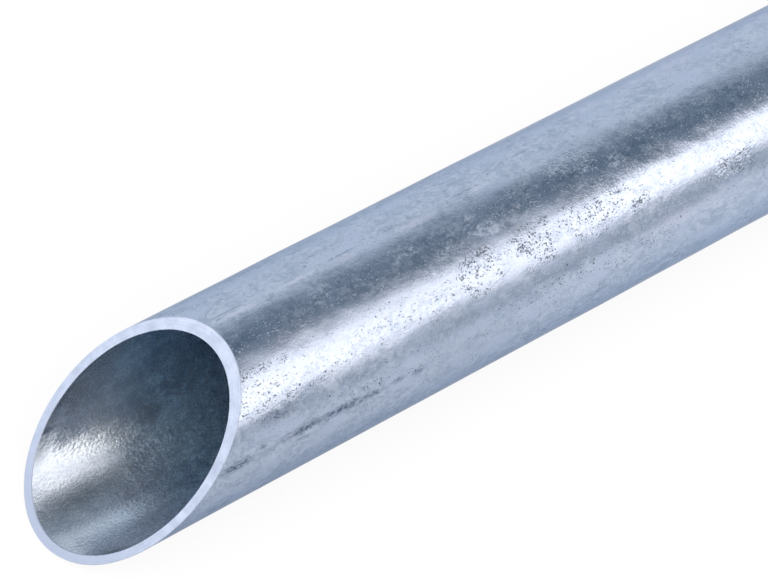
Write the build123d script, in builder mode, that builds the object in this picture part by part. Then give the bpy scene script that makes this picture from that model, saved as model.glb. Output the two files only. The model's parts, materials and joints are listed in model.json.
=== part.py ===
"""A cut length of hot-dip galvanised round steel tube, lying on the floor.

One end is sawn to a mitre and the other is sawn square. The tube runs along X with its mitred end at -X
and the mitre's long side down, which is how it comes to rest. The origin is on the floor, halfway along.
"""

import os
from math import cos, radians, sin, tan

from build123d import *

# Driving dimensions, in millimetres and degrees.
outer_diameter = 60.3
wall = 2.9
length = 1000.0  # along the underside, from the mitre's sharp toe to the square end
mitre_angle = 45.0  # between the mitre and a square cut
outer_edge_break = 0.5  # taken off the outer edge of each end, both along the tube and across the cut
bore_edge_break = 0.2  # the same for the bore edge

outer_radius = outer_diameter / 2
bore_radius = outer_radius - wall
lean = radians(mitre_angle)

# The round section is drawn square to the axis, level with the mitre's toe.
section_plane = Plane(origin=(-length / 2, 0, outer_radius), x_dir=(0, 1, 0), z_dir=(1, 0, 0))


def mitre_plane(setback):
    """The saw's plane, which leans back from the toe, moved along the tube by a setback."""
    mitre_centre = -length / 2 + outer_radius * tan(lean)
    return Plane(
        origin=(mitre_centre + setback, 0, outer_radius),
        x_dir=(0, 1, 0),
        z_dir=(-cos(lean), 0, sin(lean)),
    )


def mitre_outline(radius, setback=0, margin=0):
    """The ellipse that a mitre plane cuts from a round surface of this radius, widened by a margin."""
    with BuildSketch(mitre_plane(setback)) as outline:
        Ellipse(radius + margin, radius / cos(lean) + margin)
    return outline.sketch


with BuildPart() as steel_tube:
    # The outside: a round bar with its square end broken. It is sawn to the mitre a little way in, and the
    # last bit of it narrows from there to the saw's plane, as that end's broken edge.
    with BuildSketch(section_plane):
        Circle(outer_radius)
    extrude(amount=length)
    square_end = steel_tube.faces().sort_by(Axis.X)[-1]
    chamfer(square_end.edges(), outer_edge_break)
    split(bisect_by=mitre_plane(outer_edge_break), keep=Keep.BOTTOM)
    edge_start = mitre_outline(outer_radius, setback=outer_edge_break)
    edge_end = mitre_outline(outer_radius, margin=-outer_edge_break)
    loft([edge_start, edge_end], ruled=True)

    # The bore runs right through, and widens to each sawn face by its own broken edge.
    with BuildSketch(section_plane):
        Circle(bore_radius)
    extrude(amount=length, mode=Mode.SUBTRACT)
    square_end = steel_tube.faces().sort_by(Axis.X)[-1]
    chamfer(square_end.inner_wires()[0].edges(), bore_edge_break)
    edge_start = mitre_outline(bore_radius, setback=bore_edge_break)
    edge_end = mitre_outline(bore_radius, margin=bore_edge_break)
    loft([edge_start, edge_end], ruled=True, mode=Mode.SUBTRACT)

steel_tube.part.label = "steel_tube"

os.makedirs("parts", exist_ok=True)
export_step(steel_tube.part, "parts/steel_tube.step")
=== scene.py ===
"""The looks of a hot-dip galvanised steel tube: its zinc coat, its sawn ends, the studio and the camera.

The tube's sizes come from the frame. Lengths are in metres, and those of marks, grains and bumps in
millimetres.
"""

import json
from math import atan2, cos, pi, radians, sin
from types import SimpleNamespace

import bpy
import numpy as np
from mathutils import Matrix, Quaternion, Vector


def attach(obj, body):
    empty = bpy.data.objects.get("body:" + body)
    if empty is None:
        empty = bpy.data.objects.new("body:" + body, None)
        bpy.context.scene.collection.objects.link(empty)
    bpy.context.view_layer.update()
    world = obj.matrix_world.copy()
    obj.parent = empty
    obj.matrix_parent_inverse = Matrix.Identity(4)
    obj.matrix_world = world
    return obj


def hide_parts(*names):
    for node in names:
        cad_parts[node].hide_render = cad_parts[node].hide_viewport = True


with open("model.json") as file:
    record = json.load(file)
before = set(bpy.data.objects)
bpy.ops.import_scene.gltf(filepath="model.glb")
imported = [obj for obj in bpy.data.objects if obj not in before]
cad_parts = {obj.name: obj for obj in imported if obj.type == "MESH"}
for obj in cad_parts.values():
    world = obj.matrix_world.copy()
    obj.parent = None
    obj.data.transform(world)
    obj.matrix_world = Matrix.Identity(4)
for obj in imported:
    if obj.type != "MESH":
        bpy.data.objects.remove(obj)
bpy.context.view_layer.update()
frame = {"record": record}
scene = bpy.context.scene
scene.view_settings.view_transform = "Standard"
MM = 0.001

# The tube, as its mounts give it: two radii about a level axis, a square end and a leaning mitre.
mounts = {mount["name"]: mount for mount in frame["record"]["mounts"]}
outer_radius = mounts["outside"]["dims"]["r_mm"] * MM
bore_radius = mounts["bore"]["dims"]["r_mm"] * MM
axis_height = mounts["outside"]["pos_m"][2]
square_end = mounts["square_end"]["pos_m"][0]
mitre_point = Vector(mounts["mitred_end"]["pos_m"])
mitre_normal = Vector(mounts["mitred_end"]["axis"])
lean = atan2(mitre_normal.z, -mitre_normal.x)
mitre_slope = sin(lean) / cos(lean)  # how far the cut runs along the tube for each metre that it rises
mitre_centre = mitre_point.x + (axis_height - mitre_point.z) * mitre_slope
toe = mitre_centre - outer_radius * mitre_slope  # the mitre's sharp tip, underneath
outer_edge_break = 0.5 * MM
bore_edge_break = 0.2 * MM

# The mesh: points round the tube, and rows along each of its surfaces.
points_round = 224
outer_rows = 270
bore_rows = 120
sawn_rows = 5
around = np.linspace(0, 2 * pi, points_round, endpoint=False)
sharp_angle = radians(20)  # faces that meet at more than this have a crisp edge between them

# How this tube differs from a plain one.
coat_unevenness = 0.3 * MM
deburr_unevenness = 0.07 * MM
light_edge_break = 0.15 * MM  # round most of each outer edge; only the mitre's sharp toe has the full break
bore_drop = 0.4 * MM  # the wall is this much thicker on top, and thinner underneath
bore_squeeze = 0.25 * MM  # and this much thicker at each side

# Marks. Each has its place along X in millimetres and round the tube in degrees from +Y up over the top,
# then half its length and half its width in millimetres, measured at the outer radius, and its strength.
# These are on the outside.
grain_patches = [
    (-438, 114, 19, 2.5, 0.6),
    (-440, 124, 14, 5, 0.35),
    (-437, 134, 15, 4, 0.55),
    (-414, 133, 16, 3, 0.35),
    (-393, 122, 10, 8, 0.22),
    (-370, 122, 6, 6, 0.35),
    (-358, 120, 11, 9, 0.65),
    (-337, 123, 11, 9, 0.7),
    (-313, 122, 20, 10, 0.45),
    (-299, 128, 8, 4, 0.75),
    (-262, 136, 11, 4, 0.7),
    (-380, 130, 18, 5, 0.3),
    (-405, 150, 45, 9, 0.25),
    (-320, 150, 50, 10, 0.3),
]
stroke_patches = [(-312, 89, 8, 4, 1.0), (-262, 136, 7, 3, 1.0)]
fleck_patches = [
    (-406, 89, 6, 5, 0.7),
    (-390, 77, 7, 3, 0.6),
    (-376, 92, 6, 4, 0.8),
    (-367, 79, 5, 4, 0.7),
    (-367, 103, 5, 3, 0.7),
    (-354, 93, 7, 4, 0.7),
    (-350, 103, 7, 3, 1.0),
    (-332, 90, 5, 4, 0.6),
    (-312, 90, 8, 4, 0.7),
    (-299, 101, 5, 3, 0.8),
]
scrapes = [
    (-452.5, 159.2, 8, 2.3, 1.0),
    (-428, 157.9, 13, 2.2, 0.9),
    (-415, 158.4, 12, 2.2, 1.0),
    (-405, 159.8, 9, 1.8, 0.8),
    (-394, 159.4, 4, 1.5, 0.7),
    (-387, 160.6, 3, 1.3, 0.6),
    (-443, 155.5, 3, 1.2, 0.6),
    (-429, 164, 4, 1.0, 0.5),
    (-436, 141.5, 10, 3.0, 0.85),
    (-303.7, 118.5, 3, 0.7, 0.9),
]
# Painted reflection and shade, not marks in the zinc: the pale areas brighten what the tube mirrors on the
# far upper flank, at the highlight's upper edge and low on the far flank; the dark areas darken the
# mirrored ceiling and floor near the mitre.
painted_light_areas = [(-255, 44, 80, 15, 0.6), (-425, 102, 35, 3, 0.6), (-280, 150, 40, 5, 0.6)]
painted_shade_areas = [(-365, 152, 45, 16, 0.4), (-425, 87, 35, 4, 0.6)]
pale_streaks = [
    (-431, 77, 11, 1.3, 0.7),
    (-409, 75.5, 9, 1.1, 0.7),
    (-391, 77.5, 8, 1.4, 0.8),
    (-366, 78, 9, 1.5, 0.7),
    (-341, 76, 7, 1.2, 0.6),
]
scratches = [
    (-433, 73, 8, 0.4, 0.5),
    (-392, 73.5, 9, 0.4, 0.6),
    (-373, 73, 5, 0.3, 0.4),
    (-348, 73.4, 6, 0.3, 0.5),
    (-322, 65.7, 4, 0.3, 0.5),
]

# And these are in the bore: painted highlights where it mirrors the soft light, and streaks of painted
# shade.
bore_painted_highlights = [(-476, -107, 20, 6.5, 0.9), (-470, -52, 18, 8, 1.0), (-464, -59, 9, 4, 0.9)]
bore_painted_shade_streaks = [(-483, -79, 28, 8, 0.8), (-469, -76, 10, 4.5, 0.6), (-451, -53, 8, 6, 0.6)]

# Colours of the zinc outside, of its marks, of the zinc in the bore, and of the sawn steel.
zinc_light = (0.46, 0.545, 0.685, 1)
zinc_dark = (0.325, 0.402, 0.535, 1)
zinc_pale = (0.54, 0.597, 0.755, 1)
zinc_lilac = (0.42, 0.505, 0.66, 1)
zinc_outline = (0.50, 0.57, 0.67, 1)  # where it is seen at a slant
grime = (0.035, 0.062, 0.13, 1)
speck_grey = (0.12, 0.14, 0.175, 1)
# Near the mouth the bore's zinc is whiter, a painted highlight where it mirrors the light; further in it is
# bluer, a painted tint of its shade.
mouth_light = (0.494, 0.577, 0.692, 1)
mouth_dark = (0.395, 0.478, 0.593, 1)
inside_light = (0.40, 0.62, 0.81, 1)
inside_dark = (0.225, 0.365, 0.535, 1)
# Painted colours in the bore: a highlight, and shade.
bore_highlight_paint = (0.67, 0.785, 0.91, 1)
bore_shade_paint = (0.16, 0.20, 0.25, 1)
ring_light = (0.55, 0.65, 0.845, 1)
ring_dark = (0.405, 0.49, 0.655, 1)
edge_light = (0.48, 0.55, 0.70, 1)
edge_dark = (0.36, 0.43, 0.57, 1)


def waves(seed, count, rounds, per_metre):
    """A smooth uneven pattern over the angle round the tube and the length along it, from 0 to 1."""
    random = np.random.default_rng(seed)
    turns = random.integers(1, rounds, count)
    lengths = random.uniform(-per_metre, per_metre, count)
    phases = random.uniform(0, 2 * pi, count)

    def pattern(angle, along):
        total = np.zeros(np.broadcast(angle, along).shape)
        for turn, length, phase in zip(turns, lengths, phases):
            total = total + np.sin(turn * angle + 2 * pi * length * along + phase)
        return 0.5 + 0.5 * total / count

    return pattern


coat_waves = waves(seed=3, count=14, rounds=12, per_metre=30)
bore_waves = waves(seed=5, count=10, rounds=10, per_metre=20)
deburr_waves = waves(seed=8, count=9, rounds=40, per_metre=0.1)


def round_row(radius, along, drop=0.0, squeeze=0.0):
    """A row of points round the axis, or round a line a drop under it and narrower by a squeeze."""
    y = (radius - squeeze) * np.cos(around)
    z = axis_height - drop + radius * np.sin(around)
    return np.stack([along + 0 * y, y, z], axis=1)


def mitre_start(radius, drop=0.0):
    """Where the mitre cuts a round surface of this radius, as a distance along X for each angle."""
    return mitre_centre + (radius * np.sin(around) - drop) * mitre_slope


def mitre_row(radius, margin, drop=0.0, squeeze=0.0):
    """A row of points in the mitre's plane, a margin outside the edge of a round surface."""
    across = (radius + margin - squeeze) * np.cos(around)
    up_cut = (radius / cos(lean) + margin) * np.sin(around) - drop / cos(lean)
    return np.stack([mitre_centre + up_cut * sin(lean), across, axis_height + up_cut * cos(lean)], axis=1)


def tube_rows():
    """The tube's skin as closed rows of points, and the number of the finish on the band after each row."""
    coat, bore, sawn, edge = 0, 1, 2, 3
    rows, finishes = [], []

    def add(row, finish):
        rows.append(row)
        finishes.append(finish)

    # The outside, from the mitre to the square end. The coat's waves only take away.
    underside = np.clip(-np.sin(around), 0, 1)
    mitre_break = light_edge_break + underside * (outer_edge_break - light_edge_break)
    start = mitre_start(outer_radius) + mitre_break
    end = square_end - light_edge_break
    for share in np.linspace(0, 1, outer_rows):
        along = start + share * (end - start)
        dip = coat_unevenness * coat_waves(around, along)
        add(round_row(outer_radius - dip, along), coat if share < 1 else edge)

    # The square end's ring, with its deburred edges.
    uneven = deburr_unevenness * deburr_waves(around, 0.0)
    outer = round_row(outer_radius - light_edge_break - uneven, square_end)
    inner = round_row(bore_radius + bore_edge_break + uneven, square_end, bore_drop, bore_squeeze)
    for share in np.linspace(0, 1, sawn_rows):
        add(outer + share * (inner - outer), sawn if share < 1 else edge)

    # The bore, back to the mitre. Its waves only widen it.
    start = square_end - bore_edge_break
    end = mitre_start(bore_radius, bore_drop) + bore_edge_break
    for share in np.linspace(0, 1, bore_rows):
        along = start + share * (end - start)
        dip = coat_unevenness * bore_waves(around, along)
        row = round_row(bore_radius + dip, along, bore_drop, bore_squeeze)
        add(row, bore if share < 1 else edge)

    # The mitre's ring, out to the row that the skin started from.
    uneven = deburr_unevenness * deburr_waves(around, 3.0)
    inner = mitre_row(bore_radius, bore_edge_break + uneven, bore_drop, bore_squeeze)
    outer = mitre_row(outer_radius, -mitre_break - uneven)
    for share in np.linspace(0, 1, sawn_rows):
        add(inner + share * (outer - inner), sawn if share < 1 else edge)
    return rows, finishes


def tube_mesh(name):
    """One closed mesh of four-sided faces, with a finish for each face."""
    rows, finishes = tube_rows()
    row_count = len(rows)
    first = np.arange(points_round)
    second = np.roll(first, -1)
    faces, slots = [], []
    for row in range(row_count):
        here, there = row * points_round, (row + 1) % row_count * points_round
        band = np.stack([here + first, there + first, there + second, here + second], axis=1)
        faces.extend(band.tolist())
        slots.extend([finishes[row]] * points_round)
    mesh = bpy.data.meshes.new(name)
    mesh.from_pydata(np.concatenate(rows).tolist(), [], faces)
    mesh.polygons.foreach_set("material_index", slots)
    mesh.polygons.foreach_set("use_smooth", [True] * len(faces))
    mesh.set_sharp_from_angle(angle=sharp_angle)
    mesh.update()
    return mesh


class Nodes:
    """The nodes of a material or of the world. A value is a number or the output of another node."""

    def __init__(self, owner):
        owner.use_nodes = True
        self.tree = owner.node_tree

    def put(self, socket, value):
        if isinstance(value, bpy.types.NodeSocket):
            self.tree.links.new(value, socket)
        else:
            socket.default_value = value

    def add(self, kind, **inputs):
        """A new node, with its inputs by name and _ for a space."""
        node = self.tree.nodes.new("ShaderNode" + kind)
        self.set(node, **inputs)
        return node

    def set(self, node, **inputs):
        for name, value in inputs.items():
            self.put(node.inputs[name.replace("_", " ")], value)

    def calc(self, operation, one, two=0.0):
        node = self.add("Math")
        node.operation = operation
        self.put(node.inputs[0], one)
        self.put(node.inputs[1], two)
        return node.outputs["Value"]

    def times(self, one, two):
        return self.calc("MULTIPLY", one, two)

    def total(self, *values):
        result = values[0]
        for value in values[1:]:
            result = self.calc("ADD", result, value)
        return result

    def weighted(self, *pairs):
        """The total of values, each times its weight."""
        return self.total(*[self.times(value, weight) for value, weight in pairs])

    def largest(self, *values):
        result = values[0]
        for value in values[1:]:
            result = self.calc("MAXIMUM", result, value)
        return result

    def fade(self, value, low, high, start=0.0, end=1.0):
        """A smooth step from start, where the value is at low, to end, where it is at high."""
        node = self.add("MapRange", Value=value, From_Min=low, From_Max=high, To_Min=start, To_Max=end)
        node.interpolation_type = "SMOOTHSTEP"
        return node.outputs["Result"]

    def blend(self, share, one, two):
        """A colour between two colours."""
        node = self.add("Mix", Factor=share)
        node.data_type = "RGBA"
        # A mix of colours has them as its inputs 6 and 7, and the result as its output 2.
        self.put(node.inputs[6], one)
        self.put(node.inputs[7], two)
        return node.outputs[2]


class Finish(Nodes):
    """A material on the tube. Grain sizes are in millimetres, along X, Y and Z."""

    def __init__(self, name):
        self.material = bpy.data.materials.new(name)
        super().__init__(self.material)
        self.surface = self.tree.nodes["Principled BSDF"]
        self.place = self.add("TexCoord").outputs["Object"]
        parts = self.add("SeparateXYZ", Vector=self.place).outputs
        rise = self.calc("SUBTRACT", parts["Z"], axis_height)
        squares = self.total(self.times(rise, rise), self.times(parts["Y"], parts["Y"]))
        # In millimetres: along the tube, up from its axis, out from its axis, and round it.
        self.along = self.times(parts["X"], 1 / MM)
        self.rise = self.times(rise, 1 / MM)
        self.radius = self.times(self.calc("SQRT", squares), 1 / MM)
        self.round = self.times(self.calc("ARCTAN2", rise, parts["Y"]), outer_radius / MM)
        self.unrolled = self.add("CombineXYZ", X=self.along, Y=self.round).outputs["Vector"]

    def scaled(self, size):
        """The place on the tube, counted in grains of this size."""
        node = self.add("Mapping", Vector=self.place, Scale=[1 / (length * MM) for length in size])
        return node.outputs["Vector"]

    def noise(self, size, detail=2.0, roughness=0.5, curl=0.0):
        """Cloudy noise from 0 to 1, curled up on itself by a share of its size."""
        node = self.add("TexNoise", Vector=self.scaled(size), Scale=1.0, Detail=detail, Roughness=roughness)
        self.set(node, Distortion=curl)
        return node.outputs["Fac"]

    def swing(self, size, reach, **options):
        """Cloudy noise to both sides of 0, with this reach from its lowest to its highest."""
        return self.times(self.calc("SUBTRACT", self.noise(size, **options), 0.5), reach)

    def dots(self, size, share):
        """Scattered round dots of uneven widths, on a share of the grains of this size."""
        smallest, spread = 0.12, 0.3
        node = self.add("TexVoronoi", Vector=self.scaled([size] * 3), Scale=1.0)
        random = self.add("SeparateColor", Color=node.outputs["Color"]).outputs
        reach = self.total(smallest, self.times(random["Green"], spread))
        dot = self.fade(self.calc("DIVIDE", node.outputs["Distance"], reach), 1.0, 0.6)
        return self.times(dot, self.calc("LESS_THAN", random["Red"], share))

    def marks(self, places, ragged=0.0, core=0.4):
        """How strong the marks at these places are: in full in their core, and fading to a ragged edge."""
        shares = []
        for along, degrees, half_length, half_width, strength in places:
            node = self.add("Mapping", Vector=self.unrolled)
            node.vector_type = "TEXTURE"
            self.set(node, Location=(along, radians(degrees) * outer_radius / MM, 0))
            self.set(node, Scale=(half_length, half_width, 1))
            reach = self.add("VectorMath", Vector=node.outputs["Vector"])
            reach.operation = "LENGTH"
            shares.append(self.fade(self.total(reach.outputs["Value"], ragged), 1.0, core, 0.0, strength))
        return self.largest(*shares)

    def relief(self, height):
        """Bumps of a height in millimetres, as the surface's normal."""
        return self.add("Bump", Height=height, Distance=MM, Strength=1.0).outputs["Normal"]


def outside_marks(f):
    """How strong each kind of mark on the outside is, and the painted light and shade there."""
    ragged = f.swing((1.6, 0.7, 0.7), 3.2)
    broken = f.swing((7, 4, 4), 2.8, detail=3, roughness=0.6)
    area_edge = f.times(broken, 0.3)

    # Dark specks are thick in the placed patches and thin in others. Pits are in the placed ones only.
    placed = f.marks(grain_patches, broken)
    strewn = f.fade(f.noise((19, 14, 14)), 0.53, 0.70, 0.0, 0.3)
    grained = f.largest(strewn, placed)
    fine_grit = f.noise((0.7, 0.55, 0.55), detail=3, roughness=0.65)
    grit = f.total(fine_grit, f.swing((2.2, 1.6, 1.6), 0.35), f.times(grained, 0.16))
    speck_dips = f.fade(grit, 0.63, 0.71)

    # Flecks are matt, and scrapes are broken up into ticks.
    flecked = f.marks(fleck_patches, broken)
    curled_grit = f.noise((1.1, 0.8, 0.8), detail=3, roughness=0.6, curl=0.5)
    fleck_grit = f.total(curled_grit, f.times(flecked, 0.12))
    ticks = f.fade(f.noise((1.2, 0.5, 0.5), roughness=0.6), 0.38, 0.60, 0.3, 1.0)
    return SimpleNamespace(
        grained=grained,
        speck_dips=speck_dips,
        specks=f.times(speck_dips, f.fade(placed, 0.0, 0.5, 0.45, 1.0)),
        pits=f.dots(1.0, f.times(placed, 0.35)),
        flecks=f.times(f.fade(fleck_grit, 0.53, 0.68), flecked),
        strokes=f.marks(stroke_patches, ragged),
        scrapes=f.times(f.marks(scrapes, f.times(ragged, 0.4), core=0.0), ticks),
        scratches=f.marks(scratches, f.times(ragged, 0.5)),
        pale_streaks=f.marks(pale_streaks, f.times(ragged, 0.6)),
        painted_light_areas=f.marks(painted_light_areas, area_edge, core=0.0),
        painted_shade_areas=f.marks(painted_shade_areas, area_edge, core=0.0),
    )


def outside_height(f, marked):
    """The coat's lumps, grain, drag lines and strokes, with its specks and pits sunk in."""
    grain_height = f.total(0.026, f.times(marked.grained, 0.04))
    return f.weighted(
        (f.noise((26, 12, 12), detail=1), 0.42),
        (f.noise((7, 4.5, 4.5), detail=1), 0.10),
        (f.noise((0.75, 0.75, 0.75), detail=1.5), grain_height),
        (f.noise((40, 0.7, 0.7)), 0.008),
        (f.times(f.noise((0.5, 2.2, 2.2), detail=1), marked.strokes), 0.09),
        (marked.speck_dips, -0.02),
        (marked.pits, -0.045),
    )


def outside_colour(f, marked, tint):
    """The coat's colour, from dark to light by its tint, under its marks, painted reflection and painted
    shade.
    """
    colour = f.blend(f.fade(tint, 0.39, 0.61), zinc_dark, zinc_light)
    # Painted shade, then painted reflection, over the zinc's own tone; the pale streaks blended with them
    # are the coat's own.
    colour = f.blend(marked.painted_shade_areas, colour, zinc_dark)
    colour = f.blend(f.largest(marked.pale_streaks, marked.painted_light_areas), colour, zinc_pale)
    colour = f.blend(f.fade(f.noise((14, 8, 8)), 0.48, 0.68), colour, zinc_lilac)
    colour = f.blend(f.times(marked.specks, 0.9), colour, speck_grey)
    dirt = f.weighted((marked.pits, 0.75), (marked.scrapes, 0.95), (marked.scratches, 0.6))
    return f.blend(dirt, colour, grime)


def zinc_outside():
    """Hot-dip zinc: clouded, faintly lumpy, specked and pitted in patches, and scraped lengthways."""
    smoother_from, smoother_to = -350, -290
    f = Finish("zinc_outside")
    clouds = f.noise((34, 15, 15), detail=3)
    mottle = f.noise((7, 5, 5), detail=4, roughness=0.6)
    curls = f.noise((2.6, 2.0, 2.0), detail=4, roughness=0.55, curl=0.9)
    grain = f.noise((0.9, 0.7, 0.7))
    marked = outside_marks(f)
    tint = f.weighted((clouds, 0.1), (mottle, 0.27), (curls, 0.5), (grain, 0.13))
    colour = outside_colour(f, marked, tint)
    height = outside_height(f, marked)
    dull_curls = f.times(f.fade(curls, 0.30, 0.80, 0.0, 0.10), f.fade(mottle, 0.35, 0.65, 0.3, 1.0))
    dull_marks = f.weighted((marked.specks, 0.28), (marked.flecks, 0.22), (marked.scrapes, 0.2))
    smoother = f.fade(f.along, smoother_from, smoother_to, 0.0, -0.05)
    plain_rough = f.fade(clouds, 0.3, 0.7, 0.26, 0.21)
    rough = f.total(plain_rough, dull_curls, dull_marks, smoother)
    f.set(f.surface, Base_Color=colour, Metallic=1.0, Roughness=rough, Normal=f.relief(height))
    f.set(f.surface, Specular_Tint=zinc_outline)
    return f.material


def zinc_bore():
    """The zinc inside: grainy and dull, with painted light and shade: whiter by the mouth and bluer further
    in, painted highlights and shade streaked lengthways, and painted shade by the mitre.
    """
    mouth_end, inside_start = 28, 58
    f = Finish("zinc_bore")
    clouds = f.noise((16, 9, 9), detail=3)
    mottle = f.noise((4, 3, 3), detail=4, roughness=0.6)
    grain = f.noise((1.1, 0.9, 0.9))
    tint = f.fade(f.weighted((clouds, 0.4), (mottle, 0.4), (grain, 0.2)), 0.38, 0.62)
    # Painted light: whiter by the mouth, where the bore mirrors the soft light, and bluer further in, where
    # it lies in shade.
    at_mouth = f.blend(tint, mouth_dark, mouth_light)
    inside = f.blend(tint, inside_dark, inside_light)
    from_toe = f.calc("SUBTRACT", f.along, toe / MM)
    colour = f.blend(f.fade(from_toe, mouth_end, inside_start), at_mouth, inside)
    # Painted highlights where the bore mirrors the light, and streaks of painted shade.
    colour = f.blend(f.marks(bore_painted_highlights, core=0.0), colour, bore_highlight_paint)
    colour = f.blend(f.marks(bore_painted_shade_streaks, core=0.0), colour, bore_shade_paint)
    # Painted shade: darker towards the mitre, and most of all at the lip, but not down by the toe.
    from_cut = f.total(f.along, -mitre_centre / MM, f.times(f.rise, -mitre_slope))
    by_cut = f.times(f.fade(from_cut, 24, 4), f.fade(f.rise, -17, -9, 0.0, 0.55))
    at_lip = f.times(f.fade(from_cut, 7, 1), f.fade(f.rise, -23.5, -18.5, 0.0, 0.8))
    colour = f.blend(f.largest(by_cut, at_lip), colour, bore_shade_paint)
    height = f.weighted((f.noise((14, 8, 8), detail=1), 0.3), (grain, 0.105))
    rough = f.total(f.fade(mottle, 0.3, 0.7, 0.21, 0.245), f.fade(grain, 0.4, 0.7, 0.0, 0.07))
    f.set(f.surface, Base_Color=colour, Metallic=0.84, Roughness=rough, Normal=f.relief(height))
    return f.material


def sawn_steel(name, dark, light, rough):
    """The bare saw cut: pale, finely scored round the ring, with painted shade that darkens it towards the
    toe.
    """
    score_width, score_length = 0.4, 16
    toe_shade_length = 34
    f = Finish(name)
    across = f.times(f.radius, 1 / score_width)
    round_ring = f.times(f.round, 1 / score_length)
    ring_place = f.add("CombineXYZ", X=across, Y=round_ring).outputs["Vector"]
    scores = f.add("TexNoise", Vector=ring_place, Scale=1.0, Detail=2.0).outputs["Fac"]
    clouds = f.noise((4, 4, 4), detail=4, roughness=0.6)
    tint = f.weighted((scores, 0.4), (clouds, 0.6))
    colour = f.blend(f.fade(tint, 0.35, 0.65), dark, light)
    # Painted shade: darker towards the toe.
    colour = f.blend(f.fade(f.along, toe / MM, toe / MM + toe_shade_length, 0.9, 0.0), colour, dark)
    height = f.weighted((scores, 0.012), (clouds, 0.06))
    f.set(f.surface, Base_Color=colour, Metallic=1.0, Roughness=rough, Normal=f.relief(height))
    return f.material


def tube_materials():
    """The materials, in the order of the finishes on the tube's skin."""
    ring = sawn_steel("sawn_ring", ring_dark, ring_light, rough=0.5)
    edge = sawn_steel("broken_edge", edge_dark, edge_light, rough=0.7)
    return [zinc_outside(), zinc_bore(), ring, edge]


def make_tube():
    """The tube, as one piece that stands for the solid."""
    tube = bpy.data.objects.new("galvanised_tube", tube_mesh("galvanised_tube"))
    scene.collection.objects.link(tube)
    for material in tube_materials():
        tube.data.materials.append(material)
    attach(tube, "root")
    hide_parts("steel_tube")


def make_floor():
    """A wide pale floor that shows white and keeps the tube's shadow, with painted shade where the tube
    mirrors it in front of the mitre.
    """
    half_width = 40.0
    floor_paint = (0.88, 0.90, 0.93, 1)
    white_when_seen = 0.86
    white_when_mirrored = 0.6
    mirrored_shade_in_front = 0.7
    corners = [(x * half_width, y * half_width, 0) for x, y in ((-1, -1), (1, -1), (1, 1), (-1, 1))]
    mesh = bpy.data.meshes.new("floor")
    mesh.from_pydata(corners, [], [(0, 1, 2, 3)])
    floor = bpy.data.objects.new("floor", mesh)
    scene.collection.objects.link(floor)
    material = bpy.data.materials.new("pale_floor")
    n = Nodes(material)
    n.tree.nodes.remove(n.tree.nodes["Principled BSDF"])
    rays = n.add("LightPath").outputs
    seen = n.times(rays["Is Camera Ray"], white_when_seen)
    mirrored = n.times(n.largest(rays["Is Glossy Ray"], rays["Is Transmission Ray"]), white_when_mirrored)
    # Painted shade for the tube to mirror: in reflections the floor glows less in front of the tube, near
    # the mitre.
    place = n.add("SeparateXYZ", Vector=n.add("TexCoord").outputs["Object"]).outputs
    at_back = n.fade(place["Y"], -0.02, 0.06)
    past_mitre = n.fade(place["X"], -0.45, -0.2, mirrored_shade_in_front, 1.0)
    brightness = n.largest(rays["Is Camera Ray"], at_back, past_mitre)
    matt = n.add("BsdfDiffuse", Color=floor_paint).outputs["BSDF"]
    white = n.add("Emission", Color=(1, 1, 1, 1), Strength=brightness).outputs["Emission"]
    mix = n.add("MixShader")
    for socket, value in zip(mix.inputs, (n.largest(seen, mirrored), matt, white)):
        n.put(socket, value)
    n.set(n.tree.nodes["Material Output"], Surface=mix.outputs["Shader"])
    mesh.materials.append(material)


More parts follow.
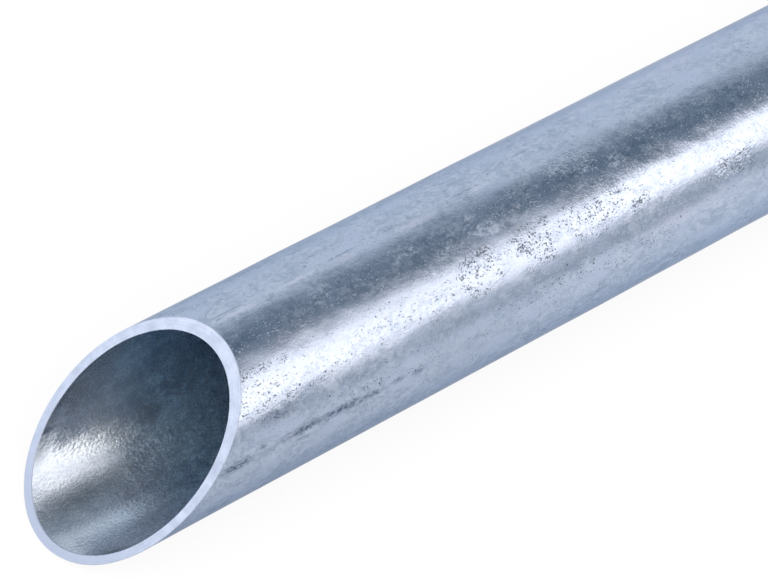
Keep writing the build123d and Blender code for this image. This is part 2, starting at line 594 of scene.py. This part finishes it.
def make_studio():
    """A white room with a dim ceiling, and one long soft light in front of the tube and along it.

    Both get narrower further along the tube, and the light is slimmer in the part that the bore mirrors.
    """
    room_white = (1.0, 1.0, 1.0, 1)
    front_wall = (0.70, 0.70, 0.71, 1)
    dim_ceiling = (0.185, 0.235, 0.28, 1)
    soft_light = (2.50, 2.22, 2.01, 1)
    # Angles over the floor at which the ceiling begins and is at its full.
    ceiling_start = radians(32)
    ceiling_full = radians(54)
    # Angles about the tube, 0 at the front and a right angle overhead, for the edges of the light.
    bottom_start = radians(21.5)
    bottom_full = radians(34)
    top_start = radians(91)
    top_full = radians(69.5)
    bore_trim = radians(34)

    scene.world = bpy.data.worlds.new("studio")
    n = Nodes(scene.world)
    direction = n.add("SeparateXYZ", Vector=n.add("TexCoord").outputs["Generated"]).outputs
    front = n.times(direction["Y"], -1.0)
    walls = n.blend(n.fade(front, -0.3, 0.3), room_white, front_wall)
    # To the camera, the outside mirrors directions with an X of about 0.4 or more, and the bore about 0.3.
    further = n.calc("SUBTRACT", direction["X"], 0.4)
    narrowing = n.calc("MINIMUM", n.largest(further, -0.05), 0.15)
    slimmer = n.times(n.fade(direction["X"], 0.35, 0.29), n.fade(direction["X"], 0.0, 0.15))
    # Both of these raise the edge of the ceiling.
    height = n.total(direction["Z"], n.times(narrowing, -0.45), n.times(slimmer, -0.08))
    room = n.blend(n.fade(height, sin(ceiling_start), sin(ceiling_full)), walls, dim_ceiling)

    # Further along, the light's lower edge is higher, and its upper edge is lower and crisper.
    lift = n.calc("ARCTAN2", direction["Z"], front)
    lower_edge = n.fade(n.total(lift, n.times(further, -0.25)), bottom_start, bottom_full)
    upper_start = n.total(top_start, n.times(narrowing, -1.8))
    upper_full = n.total(top_full, n.times(narrowing, 0.3))
    upper_place = n.total(lift, further, n.times(slimmer, bore_trim))
    upper_edge = n.fade(upper_place, upper_start, upper_full)
    ends = n.fade(n.calc("ABSOLUTE", direction["X"]), 0.9, 0.7)
    lit = n.times(n.times(lower_edge, upper_edge), ends)
    light = n.blend(lit, room, soft_light)
    seen = n.add("LightPath").outputs["Is Camera Ray"]
    n.set(n.tree.nodes["Background"], Color=n.blend(seen, light, room_white), Strength=1.0)


def make_camera():
    """The camera, which looks down on the mitre from the left."""
    place = (-0.80406, -0.40362, 0.85755)
    azimuth, elevation, roll = radians(-46.446), radians(54.321), radians(13.097)
    back = Vector((sin(azimuth) * cos(elevation), -cos(azimuth) * cos(elevation), sin(elevation)))
    lens = bpy.data.cameras.new("camera")
    lens.lens = 156.51
    lens.sensor_width = 36.0
    lens.clip_start = 0.01
    camera = bpy.data.objects.new("camera", lens)
    scene.collection.objects.link(camera)
    camera.location = place
    camera.rotation_mode = "QUATERNION"
    turn = Quaternion((0, 0, 1), roll)
    camera.rotation_quaternion = (-back).to_track_quat("-Z", "Y") @ turn
    scene.camera = camera


make_camera()
make_tube()
make_floor()
make_studio()
